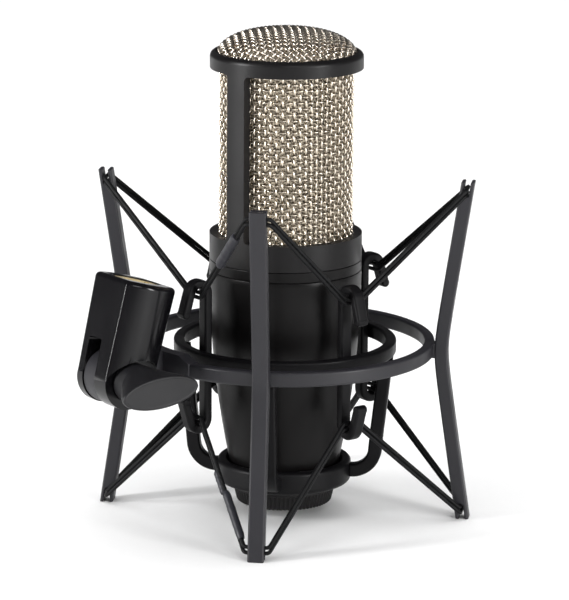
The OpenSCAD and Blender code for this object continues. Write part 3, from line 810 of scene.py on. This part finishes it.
def hook_end(tip_z, way):
    """Bend and leg of a hook, as (radius, height) points; way is 1 at the top and -1 at the bottom."""
    middle = Vector((hook_bar_r + hook_bend_r, tip_z - way * (hook_bend_r + hook_t / 2)))
    turn = arc(0, 0, hook_bend_r, 180, hook_leg_deg, 16)
    lean = math.radians(hook_leg_deg)
    bend_x, bend_z = turn[-1]
    leg = [(bend_x + part * hook_leg * math.sin(lean), bend_z - part * hook_leg * math.cos(lean))
           for part in (0.5, 1)]
    return [(middle.x + x, middle.y + way * z) for x, z in turn + leg]


def make_hook(az, side):
    parts, tip_sides = 8, 20
    upper, lower = hook_end(hook_top_z, 1), hook_end(hook_low_z, -1)
    bottom_z, top_z = lower[0][1], upper[0][1]
    bar = [(hook_bar_r, bottom_z + (top_z - bottom_z) * i / parts) for i in range(1, parts)]
    path = lower[::-1] + bar + upper
    obj = sweep("hook_bar_" + side, path, bar_section(hook_t, hook_w, 0.9 * MM), az)
    for x, z in (path[0], path[-1]):
        tip = arc(x, z, hook_t / 2, 0, 360, tip_sides)[:-1]
        merge(obj, prism("tip", tip, -hook_w / 2, hook_w / 2, beside(at(az))))
    dress(obj, cage_nylon, "suspended", ["hook_bar_" + side],
          bevel=0.6 * MM, angle=60)


make_cradle()
make_ring("inner_ring", inner_ring_r - inner_ring_t, inner_ring_r, cage_nylon, "suspended")
make_ring("outer_ring", outer_ring_r - outer_ring_t, outer_ring_r, frame_nylon, "outer_frame")
for az, side in quarters:
    make_arm(az, side)
for az, side in diagonals:
    make_hook(az, side)


# ---- Posts, with a leaning notch for the cord at each end ----

post_lean = math.atan((post_radius(0) - post_radius(notch_h)) / notch_h)


def notch_tool(az, end):
    """What is cut out of the bottom end (0) or the top end (1) of a post."""
    way = 1 - 2 * end
    foot = Vector((post_radius(0), end * post_h))
    along = Vector((-math.sin(post_lean), way * math.cos(post_lean)))
    across = Vector((along.y, -along.x))
    overshoot = 1.5 * MM
    beyond = foot - along * overshoot
    middle = foot + along * (notch_h - notch_w / 2)
    start = math.degrees(math.atan2(across.y, across.x))
    outline = [tuple(beyond - across * notch_w / 2), tuple(beyond + across * notch_w / 2)]
    outline += arc(middle.x, middle.y, notch_w / 2, start, start + 180, 8)
    return prism("notch", outline, -post_w, post_w, beside(at(az)))


def make_post(az, side):
    steps, sink, side_gap = 48, 1 * MM, 0.3 * MM
    path = []
    for i in range(-steps, steps + 1):
        share = i / steps
        z = post_h / 2 * (1 + share * (0.4 + 0.6 * abs(share)))
        path.append((post_radius(z), z))
    obj = sweep("post_" + side, path, bar_section(post_t, post_w, 0.75 * MM), az, level_ends=True)
    for end in (0, 1):
        cut(obj, notch_tool(az, end))
    inside, outside = outer_ring_r - sink, post_waist_r - post_t + sink
    link = prism("link", rounded([
        (inside, ring_low_z), (outside, ring_low_z), (outside, ring_top_z), (inside, ring_top_z),
    ]), -post_w / 2 + side_gap, post_w / 2 - side_gap, beside(at(az)))
    merge(obj, link)
    dress(obj, frame_nylon, "outer_frame", ["post_" + side],
          bevel=0.35 * MM, angle=50)


for az, side in quarters:
    make_post(az, side)


# ---- Elastic cords: two closed turns at the top and two at the bottom, through notches and hooks ----

cord_hook_r = hook_bar_r + 2 * hook_bend_r - hook_t / 2 - cord_d / 2 - 0.5 * MM
cord_bend = 1.1 * MM
span_parts = 12


def cord_corner(i, j, k, lower):
    """Corner j (0, 1 at a notch, 2, 3 at a hook) of quarter i of strand k."""
    in_notch = j < 2
    clear = post_w / 2 + cord_d if in_notch else hook_w / 2 + cord_d / 2 + 0.3 * MM
    side_off = (-1 if j % 2 == 0 else 1) * clear
    a = math.radians(90 * i + (0 if in_notch else 45))
    if in_notch:
        z = post_h - notch_h + cord_d / 2 + 0.1 * MM + k * strand_pitch
        r = post_radius(z)
        z = post_h - z if lower else z
    else:
        z = hook_top_z - hook_t - cord_d / 2 - 0.4 * MM - (1 - k) * strand_pitch
        r = cord_hook_r
        z = hook_low_z + hook_top_z - z if lower else z
    return Vector((r * math.sin(a) + side_off * math.cos(a), -r * math.cos(a) + side_off * math.sin(a), z))


def cord_loop(k, lower):
    """Points round one closed strand, with its corners rounded."""
    corners = [cord_corner(i, j, k, lower) for i in range(4) for j in range(4)]
    points = []
    for i, corner in enumerate(corners):
        before, after = corners[i - 1], corners[(i + 1) % len(corners)]
        a = corner + (before - corner).normalized() * cord_bend
        b = corner + (after - corner).normalized() * cord_bend
        for t in (0, 0.2, 0.4, 0.6, 0.8, 1):
            points.append(a * (1 - t) ** 2 + corner * 2 * t * (1 - t) + b * t * t)
        if (after - corner).length > 10 * MM:
            far = after + (corner - after).normalized() * cord_bend
            points += [b.lerp(far, t / span_parts) for t in range(1, span_parts)]
    return points


def stretch_with_cage(obj):
    """Bakes its placement into its points; neither end is tied to the outer frame or the cage."""
    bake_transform(obj)


def make_cord(node, lower):
    verts, faces = [], []
    for k in (0, 1):
        tube_mesh(cord_loop(k, lower), cord_d / 2, 12, True, verts, faces)
    obj = dress(new_object(node + "_cord", verts, faces), elastic, None, [node])
    stretch_with_cage(obj)


def span_point(k, part, lower):
    """Point of strand k at a share of its way from the front post to the left front hook."""
    return cord_corner(0, 0, k, lower).lerp(cord_corner(3, 3, k, lower), part)


def sleeve_shape(r):
    """Radius along a sleeve: shrunk in towards its ends, and a little uneven."""
    def shape(t):
        ends = 1 - 0.22 * (max(0.0, 1 - t * 9) ** 2 + max(0.0, 1 - (1 - t) * 9) ** 2)
        return r * ends * (1 + 0.02 * math.sin(t * 23) + 0.015 * math.sin(t * 41 + 1))

    return shape


def make_sleeve(name, node, strands, parts, r, flat, lower):
    """Sleeve over one strand or both, between two shares of the span from post to hook."""
    parts_long = 28
    first, second = (sum((span_point(k, part, lower) for k in strands), Vector()) / len(strands)
                     for part in parts)
    points = [first.lerp(second, t / parts_long) for t in range(parts_long + 1)]
    verts, faces = [], []
    tube_mesh(points, sleeve_shape(r), 16, False, verts, faces, across_scale=flat)
    obj = dress(new_object(name, verts, faces), sleeve, None, sharp=60)
    stretch_with_cage(obj)
    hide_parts(node)


make_cord("upper_elastic", False)
make_cord("lower_elastic", True)
make_sleeve("upper_sleeve_wrap", "upper_sleeve", (0, 1), (0.2, 0.58), 1.9 * MM, 0.82, False)
make_sleeve("lower_sleeve_wrap_a", "lower_sleeves", (0,), (0.06, 0.42), 1.5 * MM, 0.95, True)
make_sleeve("lower_sleeve_wrap_b", "lower_sleeves", (1,), (0.45, 0.62), 1.35 * MM, 0.95, True)

# ---- Swivel lug: a knuckle with a neck, and a pad that widens onto the outer ring ----

lug_half = 5 * MM


def pin_tool(r, reach, place):
    """Cylinder along the swivel's pin, for its hole."""
    return lathe("hole", [(0, -reach), (r, -reach), (r, reach), (0, reach)], 64, place)


def make_lug_pad():
    half_w, end_w, bend = 9.3 * MM, 13.7 * MM, 2 * MM
    pad_low, pad_top = ring_mid_z - lug_half, ring_mid_z + lug_half
    pad = prism("pad", rounded([
        (-end_w, ring_low_z), (-half_w, pad_low, bend), (half_w, pad_low, bend), (end_w, ring_low_z),
        (end_w, ring_top_z), (half_w, pad_top, bend), (-half_w, pad_top, bend), (-end_w, ring_top_z),
    ]), outer_ring_r - 12 * MM, outer_ring_r + 2 * MM, through(at(-45)))
    inside, outside = outer_ring_r - outer_ring_t, outer_ring_r + 0.6 * MM
    below, above = ring_mid_z - 2 * lug_half, ring_mid_z + 2 * lug_half
    shell = lathe("band_cut", [(inside, below), (outside, below), (outside, above), (inside, above)], 256)
    return cut(pad, shell, how="INTERSECT")


def make_lug():
    disc = arc(0, 0, wall_r - 0.4 * MM, -150, 150, 40)
    neck_start = -7.9 * MM
    ring_x, ring_z = outer_ring_r - hinge.xy.length - 2 * MM, ring_mid_z - hinge.z
    outline = [(x, z) for x, z in disc if x > neck_start]
    outline += [(ring_x, ring_z + lug_half), (ring_x, ring_z - lug_half)]
    obj = prism("swivel_lug", outline, knuckle_y - knuckle_w / 2, knuckle_y + knuckle_w / 2,
                beside(at_hinge))
    cut(obj, pin_tool(bore_r, 12 * MM, at_hinge @ Matrix.Rotation(math.radians(90), 4, "X")))
    cut(obj, make_lug_pad(), how="UNION")
    dress(obj, frame_nylon, "outer_frame", ["swivel_lug"], bevel=0.45 * MM, angle=40)


make_lug()

# ---- Stand socket: round at the mouth, flat on both sides, slotted for the lug ----


def socket_section(share, inset):
    """Outline at a share of the height: round, with a flat on both sides and rounded corners."""
    r = foot_r + (mouth_r - foot_r) * share - inset
    half = wall_r + (mouth_half - wall_r) * share - inset
    cx = half - corner_r
    cy = math.sqrt((r - corner_r) ** 2 - cx ** 2)
    turn = math.degrees(math.atan2(cy, cx))
    quarter = [(half, cy * i / 4) for i in range(4)]
    quarter += arc(cx, cy, corner_r, 0, turn, 7) + arc(0, 0, r, turn, 90, 16)[1:]
    top_half = quarter + [(-x, y) for x, y in reversed(quarter[:-1])]
    return top_half + [(x, -y) for x, y in reversed(top_half[1:-1])]


def loft(name, rows):
    """Skin over rows of points with as many points each, closed at both ends."""
    count = len(rows[0])
    faces = []
    for i in range(len(rows) - 1):
        for k in range(count):
            n = (k + 1) % count
            faces.append((i * count + k, i * count + n, (i + 1) * count + n, (i + 1) * count + k))
    faces += [tuple(range(count)), tuple(range((len(rows) - 1) * count, len(rows) * count))]
    return tidy(new_object(name, [v for row in rows for v in row], faces))


def socket_blank():
    edge_z, edge_steps = socket_len - mouth_edge, 8
    levels_up = [(z, 0.0) for z in (-wall_r - 1 * MM, 0, socket_len * 0.3, socket_len * 0.6, edge_z)]
    for k in range(1, edge_steps + 1):
        a = math.radians(90 * k / edge_steps)
        levels_up.append((edge_z + mouth_edge * math.sin(a), mouth_edge * (1 - math.cos(a))))
    rows = []
    for z, inset in levels_up:
        outline = socket_section(max(z, 0) / socket_len, inset)
        rows.append([leaning @ Vector((x, y, z)) for x, y in outline])
    return loft("stand_socket", rows)


def socket_side():
    """Side view of the socket: a half circle round the pin, and open above it."""
    past_x, past_z, above = wall_r + 0.002 * MM, 0.001 * MM, socket_len + 5 * MM
    outline = arc(0, 0, wall_r, 180, 360, 48)
    outline += [(past_x, past_z), (2 * wall_r, above), (-2 * wall_r, above), (-past_x, past_z)]
    return prism("bottom", outline, -1.2 * mouth_r, 1.2 * mouth_r, beside(leaning))


def socket_shoulder(way):
    outline = arc(-2.5 * MM, -4.5 * MM, 12.8 * MM, 0, 356.25, 95)
    return prism("shoulder", outline, way * ear_t, way * 1.6 * mouth_r, beside(leaning))


def socket_slot():
    left, right, below = knuckle_y - slot_w / 2, knuckle_y + slot_w / 2, -2 * wall_r
    return prism("slot", rounded([
        (left, below), (right, below), (right, slot_depth, 0.6 * MM), (left, slot_depth, 0.6 * MM),
    ]), -1.2 * mouth_r, 1.2 * mouth_r, through(leaning))


def socket_well():
    well_depth, seat_depth, seat_w, above = 16 * MM, 0.5 * MM, 0.6 * MM, socket_len + 2 * MM
    return lathe("well", [
        (0, socket_len - well_depth), (adapter_r, socket_len - well_depth),
        (adapter_r, socket_len - seat_depth), (adapter_r + seat_w, socket_len + 0.1 * MM),
        (adapter_r + seat_w, above), (0, above),
    ], 96, leaning)


def nut_pocket():
    corner = 5.45 * MM
    outline = arc(0, 0, corner, 0, 360, 6)[:-1]
    return prism("hexagon", outline, -ear_t - 2 * MM, -ear_t + 2.2 * MM, beside(leaning))


def make_socket():
    obj = socket_blank()
    cut(obj, socket_side(), how="INTERSECT")
    for way in (-1, 1):
        cut(obj, socket_shoulder(way))
    cut(obj, socket_slot())
    cut(obj, socket_well())
    cut(obj, pin_tool(pin_gap_r, 20 * MM, leaning @ Matrix.Rotation(math.radians(-90), 4, "X")))
    cut(obj, nut_pocket())
    dress(obj, gloss, "socket", ["stand_socket"], bevel=0.25 * MM, angle=50)


def make_adapter():
    """Brass thread adapter with ridges in its bore and a driver slot across its top."""
    crest_r, valley_r, ridge_h, pitch = 4.0 * MM, 4.55 * MM, 0.55 * MM, 1.27 * MM
    slot_half, edge = 0.9 * MM, 0.5 * MM
    top = socket_len - 0.4 * MM
    foot = top - adapter_h
    ridges = []
    z = top - 0.7 * MM
    while z > foot + 0.8 * MM:
        ridges += [(crest_r, z), (valley_r, z - ridge_h)]
        z -= pitch
    obj = lathe("thread_adapter", [
        (adapter_r, foot), (adapter_r, top - edge), (adapter_r - edge, top), (4.6 * MM, top),
    ] + ridges + [(crest_r, foot)], 128, leaning)
    driver_slot = prism("slot", [
        (-slot_half, top - 1.6 * MM), (slot_half, top - 1.6 * MM),
        (slot_half, top + 1 * MM), (-slot_half, top + 1 * MM),
    ], -12 * MM, 12 * MM, through(leaning))
    cut(obj, driver_slot)
    dress(obj, brass, "socket", ["thread_adapter"], sharp=25)


make_socket()
make_adapter()

# ---- Thumb knob: a round neck that widens into a long, thin grip ----


def knob_sections():
    """Rows of (distance along the pin, half length, half thickness)."""
    neck, neck_edge, neck_end = 6.8 * MM, 0.5 * MM, 14 * MM
    half_len, half_t = 15.1 * MM, 5.5 * MM
    face_y, flare_gap, face_edge = 27.8 * MM, 1.1 * MM, 0.7 * MM
    start = ear_t + 0.1 * MM
    sections = [(start, neck - neck_edge, neck - neck_edge), (start + neck_edge, neck, neck)]
    sections.append((neck_end, neck, neck))
    flare = 16
    for k in range(1, flare + 1):
        t = k / flare
        widening = 0.45 * t * t * (3 - 2 * t) + 0.55 * t
        sections.append((neck_end + (face_y - flare_gap - neck_end) * t,
                         neck + (half_len - neck) * widening, neck + (half_t - neck) * widening))
    for degrees in (18, 36, 54, 72, 90):
        a = math.radians(degrees)
        inset = face_edge * (1 - math.cos(a))
        sections.append((face_y - face_edge * (1 - math.sin(a)), half_len - inset, half_t - inset))
    for sunk, inset in ((0, 1.0 * MM), (0.25 * MM, 1.35 * MM)):
        sections.append((face_y - sunk, half_len - inset, half_t - inset))
    return sections


def make_knob():
    around = 96
    turned = at_hinge @ Matrix.Rotation(math.radians(2), 4, "Y")
    circle = [(math.cos(TAU * k / around), math.sin(TAU * k / around)) for k in range(around)]
    rows = [[turned @ Vector((a * x, y, b * z)) for x, z in circle] for y, a, b in knob_sections()]
    dress(loft("thumb_knob", rows), knob_skin, "thumb_screw", ["thumb_knob"], sharp=40)


make_knob()

# ---- CAD nodes that stay: inner parts, washers, screws and sliders ----

kept = {
    "chassis": aluminium, "head_plate": aluminium, "capsule_saddle": rubber,
    "capsule_body": capsule_metal, "front_diaphragm": film, "rear_diaphragm": film,
    "capsule_screws": steel, "circuit_board": board, "board_parts": parts_blue,
    "switch_bodies": plastic, "base_screws": steel, "pad_switch": plastic,
    "low_cut_switch": plastic, "lock_washer": steel, "swivel_washers": steel,
    "pivot_nut": steel, "pivot_screw": steel,
}
for node, material in kept.items():
    obj = frame["nodes"][node]
    obj.data.materials.clear()
    obj.data.materials.append(material)
    m = obj.modifiers.new("edges", "BEVEL")
    m.width, m.segments, m.limit_method, m.angle_limit = 0.12 * MM, 2, "ANGLE", math.radians(50)


# ---- Stage, light and camera ----


def direction(az, elevation):
    """Unit vector towards an azimuth, counted from -Y towards +X, and an elevation, in degrees."""
    a, e = math.radians(az), math.radians(elevation)
    return Vector((math.sin(a) * math.cos(e), -math.cos(a) * math.cos(e), math.sin(e)))


def make_floor():
    half = 6
    corners = [(-half, -half, 0), (half, -half, 0), (half, half, 0), (-half, half, 0)]
    floor = new_object("floor", corners, [(0, 1, 2, 3)])
    paper = finish("floor_paper", (0.86, 0.86, 0.86), 0.9, grain=400, depth=0.01, shade=0.01, specular=0.1)
    floor.data.materials.append(paper)


def make_world():
    """Studio air: brighter near the horizon than overhead."""
    world = bpy.data.worlds.new("studio")
    bpy.context.scene.world = world
    world.use_nodes = True
    nodes, links = world.node_tree.nodes, world.node_tree.links
    split = nodes.new("ShaderNodeSeparateXYZ")
    links.new(nodes.new("ShaderNodeTexCoord").outputs["Generated"], split.inputs["Vector"])
    strength = remap(nodes, links, split.outputs["Z"], (0.05, 0.60), (0.16, 0.04))
    links.new(strength, nodes["Background"].inputs["Strength"])
    nodes["Background"].inputs["Color"].default_value = (0.98, 0.98, 1.0, 1)


def softbox(name, az, elevation, distance, size, power):
    """Rectangular lamp aimed at about the microphone's middle; size is its width and height."""
    aim = Vector((0, 0, 0.09))
    light = bpy.data.lights.new(name, "AREA")
    light.shape, light.energy = "RECTANGLE", power
    light.size, light.size_y = size
    lamp = bpy.data.objects.new(name, light)
    lamp.location = aim + distance * direction(az, elevation)
    lamp.rotation_euler = (aim - lamp.location).to_track_quat("-Z", "Y").to_euler()
    bpy.context.scene.collection.objects.link(lamp)
    return lamp


def make_camera():
    """Stands where the camera fit puts it. Only the roll is set apart, as the model does not lean."""
    roll = 0.40
    target, distance, back = Vector((0, 0, 0.075257)), 1.28875, direction(8.318, 13.28)
    camera = bpy.data.objects.new("camera", bpy.data.cameras.new("camera"))
    bpy.context.scene.collection.objects.link(camera)
    bpy.context.scene.camera = camera
    camera.data.sensor_width = 36
    camera.data.lens = 221.6
    camera.data.shift_x, camera.data.shift_y = -0.0012, 0.0021
    camera.data.clip_start, camera.data.clip_end = 0.05, 50
    camera.location = target + distance * back
    turn = Matrix.Rotation(math.radians(roll), 3, "Z").to_quaternion()
    camera.rotation_mode = "QUATERNION"
    camera.rotation_quaternion = (-back).to_track_quat("-Z", "Y") @ turn


make_floor()
make_world()
softbox("key", az=-62, elevation=13, distance=2.25, size=(0.30, 1.35), power=53)
softbox("right", az=58, elevation=9, distance=2.5, size=(0.55, 1.15), power=44)
softbox("front", az=20, elevation=30, distance=1.2, size=(0.4, 0.25), power=2.5)
wash = softbox("wash", az=180, elevation=80, distance=3.0, size=(5.0, 5.0), power=175)
wash.visible_glossy = False
make_camera()
bpy.context.scene.view_settings.view_transform = "Standard"
